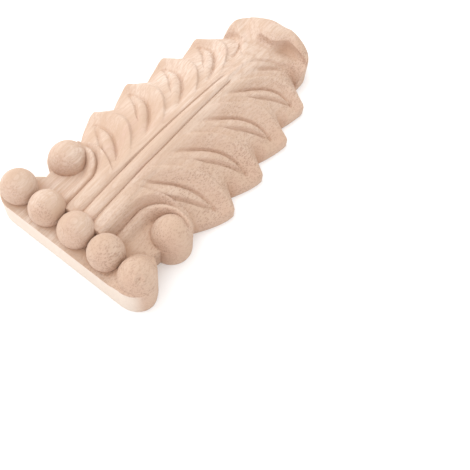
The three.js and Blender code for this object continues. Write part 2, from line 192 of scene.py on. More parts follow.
# Relief of each lobe, in shares of the lobe's length and of the way to the edge
lobes = {
    "hollowAhead": 0.03,    # the hollow lies this far ahead of the upper groove
    "crestSoft": 0.06,
    "valleyRun": 0.35,
    "endValleyRun": 0.5,
    "endHollowFrom": 0.3,
    "startsAcross": 0.3,
    "lostAtEdge": 0.45,
    "edgeBend": 4,
}

veins = {
    "grooveDepth": 1.05,
    "leftGrooveDepth": 0.75,
    "grooveHalf": 0.95,
    "bulge": 0.55,
    "tipDepth": 0.7,        # two grooves at each side of the end lobe: start, end and bow
    "leftTip": (((5.6, 95.9), (9.2, 106.3), 0.7), ((3.0, 98.9), (9.2, 106.3), -0.7)),
    "rightTip": (((0.8, 97.5), (10.3, 106.1), 1.0), ((4.3, 96.2), (10.3, 105.2), 0.3)),
    "endAcross": 0.86,
    "endShare": 0.44,
    "upper": (0.24, 0.1, 0.75),     # each groove's first place, its start and its bend
    "lower": (0.46, 0.4, 0.7),
    "fadeIn": (0.34, 0.1),          # where the lower and the upper groove start to show
    "fadeOut": 0.05,
    "bulgeFrom": 0.15,
    "measureStep": 0.01,
}

# Curled tip. On the right the lip has a free edge with an arch in it, and on the left the
# leaf folds up into it.
tip = {
    "widestAlong": 109.0,
    "half": 17.4,
    "flatHalf": 1.8,
    "roundness": 2.2,
    "rimHeight": 8.0,
    "rimRun": 6.5,
    "lipRimHeight": 9.4,
    "lipRimRun": 4.0,
    "lipEdge": 112.0,
    "lipMiddle": -2.2,      # how much further along the free edge is at the middle
    "lipArch": 4.1,
    "archTo": 0.34,
    "foldEdge": 117.3,      # where the fold meets the left side's outline
    "foldPower": 1.5,
    "foldReach": 6.2,
    "foldReachEdge": 3.2,
    "overhangReach": 2.6,
    "overhangShare": 0.55,
    "lipHeight": 14.2,
    "lipSideHeight": 11.0,
    "lipFreeShare": 0.78,
    "lipCrestShare": 0.42,
    "lipStep": 0.3,
    "hollowDepth": 1.3,
    "leftHollowDepth": 0.5,
    "hollowSkew": 0.7,
    "rimBend": 4,
    "closeBend": 5,         # how late the lip comes down to the outline
    "edgeSharp": (0.9, 1),  # where the free edge turns soft on the right, and on the left
    "leftEdgeSharp": (0, 0.25),
}

ballPitch = (plate["width"] - 2 * balls["endLedge"] + balls["gap"]) / balls["count"]
ballRadius = (ballPitch - balls["gap"]) / 2
ballRow = balls["frontLedge"] + ballRadius
firstNotch = leaf["notchAlong"][0]
lastNotch = leaf["notchAlong"][-1]


def halfWidth(along):
    # Half the outline's width, from the plate to the leaf's tip
    share = np.clip(1 - along / plate["widestAlong"], 0, 1)
    out = mix(plate["endWidth"], plate["width"], np.sqrt(1 - share ** 2)) / 2
    share = np.clip((along - plate["widestAlong"]) / (plate["neckAlong"] - plate["widestAlong"]), 0, 1)
    out = np.where(along > plate["widestAlong"],
                   mix(plate["width"], plate["neckWidth"], share ** plate["neckBend"]) / 2, out)
    reach = scroll["outlineRadius"] ** 2 - (along - scroll["along"]) ** 2
    bulge = scroll["offset"] + np.sqrt(np.maximum(0, reach))
    share = (along - plate["neckAlong"]) / (firstNotch - plate["neckAlong"])
    side = np.maximum(bulge, mix(plate["neckWidth"] / 2, leaf["notchHalf"][0], share))
    out = np.where(along > plate["neckAlong"], side, out)
    for lobe, tipAt in enumerate(leaf["tipAlong"]):
        low, high = leaf["notchAlong"][lobe:lobe + 2]
        share = np.clip((along - low) / (tipAt - low), 0, 1)
        rising = mix(leaf["notchHalf"][lobe], leaf["tipHalf"][lobe], 1 - (1 - share) ** leaf["risingBend"])
        share = np.clip((along - tipAt) / (high - tipAt), 0, 1)
        falling = mix(leaf["tipHalf"][lobe], leaf["notchHalf"][lobe + 1], share ** leaf["fallingBend"])
        out = np.where(along > low, np.where(along > tipAt, falling, rising), out)
    share = np.clip((along - lastNotch) / (tip["widestAlong"] - lastNotch), 0, 1)
    out = np.where(along > lastNotch, mix(leaf["notchHalf"][-1], tip["half"], 1 - (1 - share) ** 2), out)
    share = np.clip((along - tip["widestAlong"]) / (totalLength - tip["widestAlong"]), 0, 1)
    rounded = (1 - share ** tip["roundness"]) ** (1 / tip["roundness"])
    return np.where(along > tip["widestAlong"], mix(tip["flatHalf"], tip["half"], rounded), out)


def smoothHalfWidth(along):
    # The same width without the notches, which only the outer part of a row follows
    first, last = leaf["tipAlong"][0], leaf["tipAlong"][-1]
    low = (leaf["tipHalf"][0] + leaf["notchHalf"][1]) / 2
    high = (leaf["tipHalf"][-1] + leaf["notchHalf"][-1]) / 2
    bow = np.maximum(0, (along - first) / (last - first))
    return mix(mix(low, high, bow ** 2), halfWidth(along), ease(last, tip["widestAlong"], along))


def sweepAt(edgeAlong):
    # How far behind its meeting with the edge a row of the leaf leaves the rib
    second = leaf["notchAlong"][1]
    share = np.clip((edgeAlong - second) / (lastNotch - second), 0, 1)
    return np.where(edgeAlong < second, leaf["sweepLow"] * ease(plate["neckAlong"], second, edgeAlong),
                    mix(leaf["sweepLow"], leaf["sweepHigh"], share ** 2))


def sweepCurve(across):
    return 1 - (1 - across) ** 2 + leaf["arch"] * np.sin(math.pi * across)


def sweepSlope(across):
    return 2 * (1 - across) + leaf["arch"] * math.pi * np.cos(math.pi * across)


def rowEnd(edgeAlong, sign):
    # Rows are counted on the right. On the left the lip starts further forward.
    if sign > 0:
        return edgeAlong
    return np.interp(edgeAlong, [0, lastNotch, tip["lipEdge"], totalLength],
                     [0, lastNotch, tip["foldEdge"], totalLength])


def freeEdge(across):
    # How far ahead of its end on the outline the lip's free edge runs, on the right
    fall = np.clip((across - tip["archTo"]) / (1 - tip["archTo"]), 0, 1) ** tip["foldPower"]
    arch = tip["lipArch"] * (1 - ease(0, tip["archTo"], across))
    return (tip["lipMiddle"] + tip["lipArch"]) * (1 - fall) - arch


def alongRow(across, edgeAlong, sign):
    # Rows sweep forward on the leaf, and follow the lip's edge at the tip
    sweep = sweepAt(edgeAlong)
    curve = sweepCurve(across)
    atLip = ease(lastNotch, tip["lipEdge"], edgeAlong)
    left = np.clip((totalLength - edgeAlong) / (totalLength - tip["lipEdge"]), 0, 1)
    if sign > 0:
        return edgeAlong - mix(sweep * (1 - curve), -freeEdge(across) * left, atLip)
    middle = edgeAlong - mix(sweep, -tip["lipMiddle"] * left, atLip)
    return mix(middle, rowEnd(edgeAlong, sign), mix(curve, across ** tip["foldPower"], atLip))


def ribHalf(along):
    share = np.clip((along - leaf["crownAlong"]) / (rib["furrowEnd"] - leaf["crownAlong"]), 0, 1.6)
    return mix(rib["halfLow"], rib["halfHigh"], share)


def shoulder(along):
    span = tip["lipEdge"] - leaf["crownAlong"]
    return mix(leaf["crown"], leaf["hollow"], ((along - leaf["crownAlong"]) / span) ** 2)


def notchCut(side, along, across, edgeAlong):
    # The right edge comes down at each notch, with a small pit where the lobes meet
    low = np.zeros_like(along)
    for notch, half in list(zip(leaf["notchAlong"], leaf["notchHalf"]))[1:]:
        low = np.maximum(low, leaf["notchDip"] * (1 - ease(0, leaf["dipRun"], np.abs(edgeAlong - notch))))
        inside, ahead = leaf["pitPlace"]
        away = np.hypot(side - half + inside, along - notch - ahead) / leaf["pitRadius"]
        low = low + leaf["pitDepth"] * np.exp(-away ** 2)
    return low * across ** leaf["dipBend"]


def groove(away, half, depth):
    return -depth * ease(0, 1, 1 - away / half)


def veinShares(across):
    # Places of a vein's upper and lower groove within a lobe, both running to one end point
    end, share = veins["endAcross"], veins["endShare"]
    first, start, bend = veins["upper"]
    upper = first + (share - first) * np.clip((across - start) / (end - start), 0, 1) ** bend
    back, start, bend = veins["lower"]
    lower = share - back * (1 - np.clip((across - start) / (end - start), 0, 1)) ** bend
    return lower, upper


def window(low, high, value):
    return np.sin(math.pi * np.clip((value - low) / (high - low), 0, 1)) ** 0.5


def lobeRelief(across, edgeAlong, halfNow, sign):
    # Each lobe lies over the next: it rises from its hollow to a crest, then drops to a valley
    notches = np.array(leaf["notchAlong"] + [tip["lipEdge"]])
    crests = np.array(leaf["tipAlong"] + [tip["lipEdge"]])
    lobe = np.clip(np.searchsorted(notches, edgeAlong, side="right") - 1, 0, len(notches) - 2)
    low, high = notches[lobe], notches[lobe + 1]
    pitch = high - low
    share = np.clip((edgeAlong - low) / pitch, 0, 1)
    top = (crests[lobe] - low) / pitch
    inLeaf = edgeAlong > firstNotch
    inLobes = inLeaf & (edgeAlong < lastNotch)
    lower, upper = veinShares(across)
    hollowAt = upper + lobes["hollowAhead"]
    climb = np.clip((share - hollowAt) / (top - hollowAt), 0, 1)
    toCrest = -leaf["dish"] * (1 - ease(0, 1, mix(lobes["crestSoft"], 1, climb)))
    toHollow = mix(-leaf["valley"], -leaf["dish"], ease(0, 1, share / hollowAt))
    pastCrest = -leaf["valley"] * ease(0, 1, (share - top) / np.maximum(lobes["valleyRun"] * (1 - top), 0.01))
    relief = np.where(share > top, pastCrest, np.where(share > hollowAt, toCrest, toHollow))
    endValley = -leaf["valley"] * (1 - ease(0, lobes["endValleyRun"], share))
    depth = tip["hollowDepth"] if sign > 0 else tip["leftHollowDepth"]
    endHollow = -depth * ease(lobes["endHollowFrom"], 1, share)
    endHollow = endHollow * np.sin(math.pi * np.clip(across, 0, 1) ** tip["hollowSkew"])
    relief = np.where(inLobes, relief, np.where(inLeaf, endValley + endHollow, 0))
    relief = relief * ease(0, lobes["startsAcross"], across)
    relief = relief * (1 - lobes["lostAtEdge"] * across ** lobes["edgeBend"])
    step = veins["measureStep"]
    lowerNext, upperNext = veinShares(across + step)
    run = sweepAt(edgeAlong) * sweepSlope(across) / halfNow
    for curve, ahead, start in zip((lower, upper), (lowerNext, upperNext), veins["fadeIn"]):
        steepness = run + pitch * (ahead - curve) / step / halfNow
        away = np.abs(share - curve) * pitch / np.sqrt(1 + steepness ** 2)
        depth = veins["grooveDepth"] if sign > 0 else veins["leftGrooveDepth"]
        depth = depth * window(start, veins["endAcross"] + veins["fadeOut"], across)
        relief = relief + np.where(inLobes, groove(away, veins["grooveHalf"], depth), 0)
    inside = np.clip((share - lower) / np.maximum(upper - lower, 0.02), 0, 1)
    bulge = veins["bulge"] * 4 * inside * (1 - inside)
    bulge = bulge * window(veins["bulgeFrom"], veins["endAcross"], across)
    return relief + np.where(inLobes, bulge, 0)


def tipVeins(side, along, sign):
    # One lens-shaped vein at each side of the end lobe, cut in with two grooves
    relief = np.zeros_like(side)
    for start, end, bow in veins["rightTip"] if sign > 0 else veins["leftTip"]:
        start = np.array(start)
        line = np.array(end) - start
        size = np.hypot(*line)
        t = ((side - start[0]) * line[0] + (along - start[1]) * line[1]) / size ** 2
        off = ((side - start[0]) * -line[1] + (along - start[1]) * line[0]) / size
        off = off - bow * np.sin(math.pi * np.clip(t, 0, 1))
        depth = veins["tipDepth"] * window(-veins["fadeOut"], 1 + veins["fadeOut"], t)
        relief = relief + groove(np.abs(off), veins["grooveHalf"], depth)
    return relief


def bandPath():
    # Points of the band's crest line, with the direction away from the scroll and the height
    points, away = [], []
    middle = np.array(band["centre"])
    ball = np.array([scroll["offset"], scroll["along"]])
    neckSteps, archSteps, endSteps = band["pathSteps"]
    for along in np.linspace(leaf["stalkStart"], middle[1], neckSteps, endpoint=False):
        points.append((middle[0] - band["reach"], along))
        away.append((-1.0, 0.0))
    for turn in np.radians(np.linspace(180, band["leaveAngle"], archSteps, endpoint=False)):
        points.append(middle + np.array([band["reach"] * math.cos(turn), band["rise"] * math.sin(turn)]))
        out = np.array([math.cos(turn) / band["reach"], math.sin(turn) / band["rise"]])
        away.append(out / np.hypot(*out))
    leave = points[-1] - ball
    first = math.atan2(leave[1], leave[0])
    for share in np.linspace(0, 1, endSteps):
        turn = mix(first, math.radians(band["endAngle"]), share)
        out = np.array([math.cos(turn), math.sin(turn)])
        points.append(ball + out * mix(np.hypot(*leave), band["endRadius"], share))
        away.append(out)
    share = np.linspace(0, 1, len(points))
    climb = np.sin(math.pi / 2 * np.clip(share / band["topAt"], 0, 1))
    rise = mix(band["footHeight"], band["topHeight"], climb)
    rise = rise - band["endDrop"] * ease(band["endDropFrom"], 1, share)
    return np.array(points), np.array(away), rise


bandPoints, bandAway, bandHeight = bandPath()


def nearBand(side, along):
    # Signed distance from the band's crest, outwards positive, its height and place there
    flat = np.stack([side.ravel(), along.ravel()], -1)
    nearest = np.empty(len(flat), dtype=int)
    for start in range(0, len(flat), 4000):
        part = flat[start:start + 4000]
        gap = part[:, None, :] - bandPoints[None, :, :]
        nearest[start:start + 4000] = np.argmin((gap ** 2).sum(-1), 1)
    gap = flat - bandPoints[nearest]
    size = np.hypot(gap[:, 0], gap[:, 1])
    size = size * np.sign((gap * bandAway[nearest]).sum(-1))
    shape = side.shape
    return size.reshape(shape), bandHeight[nearest].reshape(shape), (nearest / len(bandPoints)).reshape(shape)


def leafHeight(side, along, across, edgeAlong, halfNow, sign):
    ribNow = ribHalf(along)
    before, after = rib["furrowFade"]
    depth = rib["furrowDepth"] * (1 - ease(rib["furrowEnd"] - before, rib["furrowEnd"] + after, along))
    rise = rib["rise"] * (1 - ease(rib["furrowEnd"] - rib["crestFade"], rib["crestEnd"], along))
    base = shoulder(along)
    edge = mix(plate["groundHeight"], leaf["edgeHeight"], ease(plate["neckAlong"], firstNotch, along))
    edge = np.where(edgeAlong > lastNotch, endRim(edgeAlong, sign), edge)
    height = mix(base, edge, across ** leaf["crownBend"])
    stripAt = mix(strip["offset"], strip["topOffset"], ease(strip["gatherFrom"], strip["fadeTo"], along))
    off = np.clip(np.abs(side - stripAt) / strip["halfWidth"], 0, 1)
    rounded = (1 - off ** 4) * (1 - ease(strip["fadeFrom"], strip["fadeTo"], along))
    height = height + strip["rise"] * rounded
    height = height + lobeRelief(across, edgeAlong, halfNow, sign) + tipVeins(side, along, sign)
    if sign > 0:
        height = height - notchCut(side, along, across, edgeAlong)
    height = height + groove(np.abs(side - ribNow), rib["furrowWidth"], depth)
    off = np.clip(side / ribNow, 0, 1)
    dome = mix(0.5 + 0.5 * np.cos(math.pi * off), np.sqrt(1 - off ** 2), depth / rib["furrowDepth"])
    return np.where(side < ribNow, base - depth + (rise + depth) * dome, height)


def endRim(edgeAlong, sign):
    # Height of the outline round the end lobe
    end = rowEnd(edgeAlong, sign)
    rise = mix(leaf["edgeHeight"], tip["rimHeight"], ease(lastNotch, lastNotch + tip["rimRun"], end))
    nearLip = ease(tip["widestAlong"], tip["widestAlong"] + tip["lipRimRun"], end)
    return mix(rise, tip["lipRimHeight"], nearLip)


def lipSection(share):
    # A bead that rises a little from the free edge, then rounds down to the outline
    crest = tip["lipCrestShare"]
    front = mix(tip["lipFreeShare"], 1, np.sin(math.pi / 2 * np.clip(share / crest, 0, 1)))
    back = np.clip((share - crest) / (1 - crest), 0, 1)
    return front * (1 - back ** tip["roundness"]) ** (1 / tip["roundness"])


def endHeight(height, along, across, edgeAlong, sign):
    # The leaf's surface where it rises to the lip, and the lip itself
    base = mix(tip["lipRimHeight"], endRim(edgeAlong, sign), across ** tip["rimBend"])
    crest = mix(tip["lipHeight"], tip["lipSideHeight"], across ** 2)
    full = np.sqrt(1 - np.clip(across, 0, 1) ** tip["closeBend"])
    share = np.clip((edgeAlong - tip["lipEdge"]) / (totalLength - tip["lipEdge"]), 0, 1)
    lip = mix(base, crest, lipSection(share) * full)
    behind = alongRow(across, tip["lipEdge"], sign) - along
    sharp = 1 - ease(*(tip["edgeSharp"] if sign > 0 else tip["leftEdgeSharp"]), across)
    reach = mix(mix(tip["foldReach"], tip["foldReachEdge"], across), tip["overhangReach"], sharp)
    rise = (1 - tip["overhangShare"] * sharp) * np.clip(1 - behind / reach, 0, 1) ** 2
    front = mix(height, mix(base, crest, tip["lipFreeShare"] * full), rise * full)
    return np.where(edgeAlong > tip["lipEdge"], lip, front)


def skirtHeight(side, along):
    # Terraced skirt from the last ball out to the plate's rounded corner
    lastBall = ballPitch * (balls["count"] - 1) / 2
    reach = np.hypot(side - lastBall, along - ballRow) - ballRadius
    skirt = mix(balls["skirtTop"], plate["height"], np.clip(reach / balls["skirtReach"], 0, 1))
    skirt = skirt + balls["terraceDepth"] * np.sin(2 * math.pi * skirt / balls["terraceStep"])
    return np.where(reach < balls["skirtReach"], skirt, 0)


def ringMark(body):
    # A small raised ring with a pit in it, on the crown of the last ball
    lastBall = ballPitch * (balls["count"] - 1) / 2
    centre = Vector((lastBall, ballRow - totalLength / 2, balls["equator"]))
    across, along = balls["markOffset"]
    upright = math.sqrt(ballRadius ** 2 - across ** 2 - along ** 2)
    mark = centre + Vector((across, along, upright))
    pitRadius, pitShare = balls["markPit"]
    for vertex in body.data.vertices:
        reach = (vertex.co / mm - mark).length
        if reach < 2 * balls["markRadius"]:
            ring = math.exp(-((reach - balls["markRadius"]) / balls["markLine"]) ** 2)
            pit = math.exp(-(reach / pitRadius) ** 2)
            out = (vertex.co / mm - centre).normalized()
            vertex.co += out * balls["markDepth"] * (ring - pitShare * pit) * mm


def faceHeight(side, along, across, edgeAlong, halfNow, sign):
    height = leafHeight(side, along, across, edgeAlong, halfNow, sign)
    away, crest, place = nearBand(side, along)
    if sign < 0:
        crest = crest - band["leftDrop"] * ease(*band["leftDropPlaces"], place)
    valley = np.maximum(plate["groundHeight"], crest - band["valleyDepth"])
    floor = np.where(away > 0, valley, plate["groundHeight"])
    height = mix(height, floor, 1 - ease(band["wallFrom"], band["wallTo"], away))
    inner = mix(band["innerHalf"], band["innerHalfTop"], ease(*band["narrowing"], place))
    off = np.clip(np.where(away > 0, away / band["outerHalf"], -away / inner), 0, 1)
    ridge = mix(plate["groundHeight"], crest, 0.5 + 0.5 * np.cos(math.pi * off ** band["ridgeBend"]))
    height = np.where((off < 1) & (along < firstNotch + band["pastNotch"]), np.maximum(height, ridge), height)
    onStalk = ease(leaf["stalkStart"], leaf["stalkStart"] + leaf["stalkRun"], along)
    height = mix(plate["height"], height, onStalk)
    height = np.maximum(height, skirtHeight(sign * side, along))
    return np.where(edgeAlong > lastNotch, endHeight(height, along, across, edgeAlong, sign), height)


def spaced(low, high, count):
    return np.linspace(low, high, count, endpoint=False)


# How finely the carved face is divided
division = {
    "rows": 42,             # in twelve millimetres of length, and in six at the end lobe
    "ribSteps": 9,
    "leafSteps": 82,
    "packing": 0.92,
    "sharpAngle": 42,
}

# Slow waves that keep the two halves from being exact mirrors
handCut = {"depth": 0.1, "size": 24, "seed": 5, "waves": 7, "fade": 6}


def rowStations():
    # Rows of the carved face, closer together where the form turns fast
    fine = division["rows"]
    quarter = math.pi / 2
    turn = np.sin(quarter * np.linspace(0, 1, fine // 2))
    rows = [plate["widestAlong"] * (1 - np.cos(quarter * np.linspace(0, 1, fine // 2, endpoint=False)))]
    stops = [plate["widestAlong"], leaf["stalkStart"], plate["neckAlong"], firstNotch]
    for low, high in zip(stops, stops[1:]):
        rows.append(spaced(low, high, int((high - low) * fine / 12)))
    for lobe, tipAt in enumerate(leaf["tipAlong"]):
        low, high = leaf["notchAlong"][lobe:lobe + 2]
        rows.append(spaced(low, tipAt, int((tipAt - low) * fine / 12)))
        rows.append(spaced(tipAt, high, int((high - tipAt) * fine / 12)))
    lipFoot = tip["lipEdge"] - tip["lipStep"]
    rows.append(spaced(lastNotch, lipFoot, int((lipFoot - lastNotch) * fine / 6)))
    rows.append(np.linspace(lipFoot, tip["lipEdge"] + 0.001, 4))
    rows.append(mix(tip["lipEdge"], totalLength, turn[1:]))
    return np.concatenate(rows)


def columnPlaces():
    # Places from the middle line to the edge: a share of the rib, then a share of the leaf
    ribSteps, leafSteps = division["ribSteps"], division["leafSteps"]
    leafShares = np.linspace(0, 1, leafSteps) ** division["packing"]
    ribShares = np.linspace(0, 1, ribSteps)
    inRib = np.concatenate([ribShares, np.ones(leafSteps)])
    inLeaf = np.concatenate([np.zeros(ribSteps), leafShares])
    return inRib, inLeaf


def unevenness(x, y):
    rng = np.random.default_rng(handCut["seed"])
    out = np.zeros_like(x)
    for turn in range(handCut["waves"]):
        angle, phase = rng.uniform(0, 2 * math.pi, 2)
        wave = rng.uniform(0.7, 1.6) * handCut["size"]
        out += np.sin((x * math.cos(angle) + y * math.sin(angle)) * 2 * math.pi / wave + phase)
    return out / handCut["waves"]


def carvedBody():
    # The carved face as rows of points, the left half mirrored apart from the tip
    edgeAlong = rowStations()[:, None]
    inRib, across = columnPlaces()
    halves = []
    for sign in (-1, 1):
        end = rowEnd(edgeAlong, sign)
        edge = halfWidth(end)
        smooth = smoothHalfWidth(end)
        furrow = np.minimum(rib["furrowWidth"], edge / 6)
        along = alongRow(across[None, :], edgeAlong, sign)
        ribNow = np.minimum(ribHalf(along), edge / 3)
        start = ribNow + furrow
        outer = start + (smooth - start) * across + (edge - smooth) * across ** 5
        side = np.where(np.arange(len(across)) < division["ribSteps"], ribNow * inRib, outer)
        height = faceHeight(side, along, across[None, :], edgeAlong, edge, sign)
        room = np.clip((edge - side) / plate["arris"], 0, 1)
        height = height - plate["arris"] * plate["arrisDrop"] * (1 - np.sqrt(1 - (1 - room) ** 2))
        x, y = sign * side, along - totalLength / 2
        height = height + handCut["depth"] * unevenness(x, y) * ease(0, handCut["fade"], edge - side)
        halves.append(np.stack([x, y, height], -1))
    return np.concatenate([halves[0][:, :0:-1], halves[1]], 1)


def meshFromTop(name, top):
    # Closes the carved face with upright edges and a flat back
    rows, wide = top.shape[:2]
    back = top[:, [0, -1]].copy()
    back[..., 2] = 0
    verts = np.concatenate([top.reshape(-1, 3), back.reshape(-1, 3)]) * mm
    index = np.arange(rows * wide).reshape(rows, wide)
    corners = [index[:-1, :-1], index[:-1, 1:], index[1:, 1:], index[1:, :-1]]
    faces = np.stack(corners, -1).reshape(-1, 4).tolist()
    left = rows * wide + 2 * np.arange(rows)
    right = left + 1
    for row in range(rows - 1):
        faces.append([left[row], left[row + 1], right[row + 1], right[row]])
        faces.append([left[row], index[row, 0], index[row + 1, 0], left[row + 1]])
        faces.append([right[row + 1], index[row + 1, -1], index[row, -1], right[row]])
    faces.append([left[0], right[0]] + index[0, ::-1].tolist())
    faces.append([right[-1], left[-1]] + index[-1].tolist())
    mesh = bpy.data.meshes.new(name)
    mesh.from_pydata(verts.tolist(), [], faces)
    mesh.validate()
    return linked(name, mesh)


def linked(name, data):
    piece = bpy.data.objects.new(name, data)
    bpy.context.scene.collection.objects.link(piece)
    return piece


def turnedPiece(name, profile, side, along, sides):
    # A round solid from pairs of radius and height, bottom first
    angle = 2 * math.pi * np.arange(sides) / sides
    rings = [np.stack([side + r * np.cos(angle), along + r * np.sin(angle) - totalLength / 2,
                       np.full(sides, z)], -1) for r, z in profile]
    verts = np.concatenate(rings + [[[side, along - totalLength / 2, profile[0][1]]],
                                    [[side, along - totalLength / 2, profile[-1][1]]]]) * mm
    low, high = len(rings) * sides, len(rings) * sides + 1
    faces = []
    for ring in range(len(rings) - 1):
        for step in range(sides):
            a, b = ring * sides + step, ring * sides + (step + 1) % sides
            faces.append([a, b, b + sides, a + sides])
    lastRing = (len(rings) - 1) * sides
    for step in range(sides):
        ahead = (step + 1) % sides
        faces.append([low, ahead, step])
        faces.append([high, lastRing + step, lastRing + ahead])
    mesh = bpy.data.meshes.new(name)
    mesh.from_pydata(verts.tolist(), [], faces)
    return linked(name, mesh)


def domeProfile(radius, equator, steps, tuck=0.0):
    # Half a circle from the equator, or a little below it where it tucks in, up to the crown
    profile = []
    for turn in np.linspace(-math.radians(tuck), math.pi / 2 * balls["crownShare"], steps):
        profile.append((radius * math.cos(turn), equator + radius * math.sin(turn)))
    return [(profile[0][0], balls["footHeight"])] + profile


def ballShape(number):
    side = (number - (balls["count"] - 1) / 2) * ballPitch
    profile = domeProfile(ballRadius, balls["equator"], balls["rings"], balls["tuck"])
    return turnedPiece("ball" + str(number), profile, side, ballRow, balls["sides"])


def scrollShape(sign):
    profile = domeProfile(scroll["radius"], scroll["equator"], scroll["rings"])
    return turnedPiece("scroll", profile, sign * scroll["offset"], scroll["along"], balls["sides"])


def joinInto(body, tool):
    # Unites two closed solids and drops the second
    join = body.modifiers.new("join", "BOOLEAN")
    join.operation, join.solver, join.object = "UNION", "MANIFOLD", tool
    evaluated = body.evaluated_get(bpy.context.evaluated_depsgraph_get())
    mesh = bpy.data.meshes.new_from_object(evaluated)
    body.modifiers.clear()
    old, body.data = body.data, mesh
    bpy.data.meshes.remove(old)
    bpy.data.objects.remove(tool)


def buildApplique():
    body = meshFromTop("applique", carvedBody())
    print("carved face", len(body.data.polygons), "faces")
    for number in range(balls["count"]):
        joinInto(body, ballShape(number))
    for sign in (-1, 1):
        joinInto(body, scrollShape(sign))
    body.data.name = "applique"
    body.data.polygons.foreach_set("use_smooth", [True] * len(body.data.polygons))
    body.data.set_sharp_from_angle(angle=math.radians(division["sharpAngle"]))
    print("joined", len(body.data.polygons), "faces",
          sum(len(p.vertices) - 2 for p in body.data.polygons), "triangles")
    return body


# What the wood's colour needs to know of the form, for the grain and for the shade and light painted into it
surroundings = {
    "cell": 0.5,            # of a height map, in millimetres
    "halfWide": 40,
    "margin": 8,
    "blur": 3,              # cells on each side
    "passes": 4,
    "fullDepth": 2.5,       # this far below its surroundings the painted crevice shade is darkest
    "leastUp": 0.05,
    "grainShare": 1.6,      # how fast the end-grain darkening, partly real end grain and partly painted shade, shows as the surface turns to the plate
    "rightShadeShare": 1.2,
    "rightShadeBase": 0.75,
    "rightShadeLeast": 0.2,
    "wallGap": 0.05,
}


def shadeLightAndGrainMasks(body):
    # How deep each point lies below its surroundings, for the shade painted into crevices; how far it faces
    # along the grain, weighted towards surfaces facing right as painted shade; and whether it is on the end
    # face, which is painted lighter as if more light fell on it
    mesh = body.data
    places = np.empty(len(mesh.vertices) * 3)
    mesh.vertices.foreach_get("co", places)
    places = places.reshape(-1, 3) / mm
    normals = np.empty(len(mesh.vertices) * 3)
    mesh.vertex_normals.foreach_get("vector", normals)
    normals = normals.reshape(-1, 3)
    cell, halfWide, margin = surroundings["cell"], surroundings["halfWide"], surroundings["margin"]
    along = places[:, 1] + totalLength / 2
    column = ((places[:, 0] + halfWide) / cell).astype(int)
    row = ((along + margin) / cell).astype(int)
    tops = np.zeros((int((totalLength + 2 * margin) / cell), int(2 * halfWide / cell)))
    np.maximum.at(tops, (row, column), places[:, 2])
    wide = surroundings["blur"]
    for turn in range(surroundings["passes"]):
        padded = np.pad(tops, wide, mode="edge")
        total = np.zeros_like(tops)
        for stepRow in range(2 * wide + 1):
            total += padded[stepRow:stepRow + tops.shape[0], wide:wide + tops.shape[1]]
        padded = np.pad(total / (2 * wide + 1), wide, mode="edge")
        tops = np.zeros_like(tops)
        for stepColumn in range(2 * wide + 1):
            tops += padded[wide:wide + tops.shape[0], stepColumn:stepColumn + tops.shape[1]]
        tops /= 2 * wide + 1
    # Painted shade: points below their blurred surroundings are marked for darker colour, as if less light
    # reached them
    depth = np.clip((tops[row, column] - places[:, 2]) / surroundings["fullDepth"], 0, 1)
    depth = depth * (normals[:, 2] > surroundings["leastUp"])
    # Painted shade: surfaces facing right, away from the key light, get more of the end-grain darkening
    rightShadeWeight = normals[:, 0] * surroundings["rightShadeShare"] + surroundings["rightShadeBase"]
    endGrainAndShade = np.clip(-normals[:, 1] * surroundings["grainShare"], 0, 1)
    endGrainAndShade = endGrainAndShade * np.clip(rightShadeWeight, surroundings["rightShadeLeast"], 1)
    gap = surroundings["wallGap"]
    # Painted light: the plate's end face and its corner are marked to be painted paler, without end-grain
    # darkening
    onWall = (np.abs(places[:, 0]) > halfWidth(along) - gap) | (along < gap / 5)
    paintedLightEndFace = onWall * (1 - ease(0, plate["cornerRun"], along))
    endGrainAndShade = endGrainAndShade * (1 - paintedLightEndFace)
    for name, values in (("paintedCreviceShade", depth), ("endGrainAndShade", endGrainAndShade), ("paintedLightEndFace", paintedLightEndFace)):
        layer = mesh.attributes.new(name, "FLOAT", "POINT")
        layer.data.foreach_set("value", values.astype(np.float32))


def node(tree, kind, **values):
    made = tree.nodes.new(kind)
    for name, value in values.items():
        if name in made.inputs:
            made.inputs[name].default_value = value
        else:
            setattr(made, name, value)
    return made


def mixed(tree, factor, low, high):
    made = node(tree, "ShaderNodeMix", data_type="RGBA")
    for socket, value in (("Factor", factor), ("A", low), ("B", high)):
        if isinstance(value, (tuple, float)):
            made.inputs[socket].default_value = value
        else:
            tree.links.new(value, made.inputs[socket])
    return made.outputs["Result"]


def stretched(tree, coords, across, along, upright):
    # Object coordinates counted in features per millimetre, so patterns run with the grain
    scaled = node(tree, "ShaderNodeMapping", Scale=(across / mm, along / mm, upright / mm))
    tree.links.new(coords.outputs["Object"], scaled.inputs["Vector"])
    return scaled.outputs["Vector"]


def noise(tree, vector, detail=3.0, roughness=0.6):
    made = node(tree, "ShaderNodeTexNoise", Scale=1.0, Detail=detail, Roughness=roughness)
    tree.links.new(vector, made.inputs["Vector"])
    return made.outputs["Fac"]


def ranged(tree, value, low, high, toLow=0.0, toHigh=1.0):
    made = node(tree, "ShaderNodeMapRange", interpolation_type="SMOOTHSTEP")
    tree.links.new(value, made.inputs["Value"])
    for name, number in (("From Min", low), ("From Max", high), ("To Min", toLow), ("To Max", toHigh)):
        made.inputs[name].default_value = number
    return made.outputs["Result"]


def times(tree, first, second):
    made = node(tree, "ShaderNodeMath", operation="MULTIPLY")
    for socket, value in zip(made.inputs, (first, second)):
        if isinstance(value, float):
            socket.default_value = value
        else:
            tree.links.new(value, socket)
    return made.outputs["Value"]


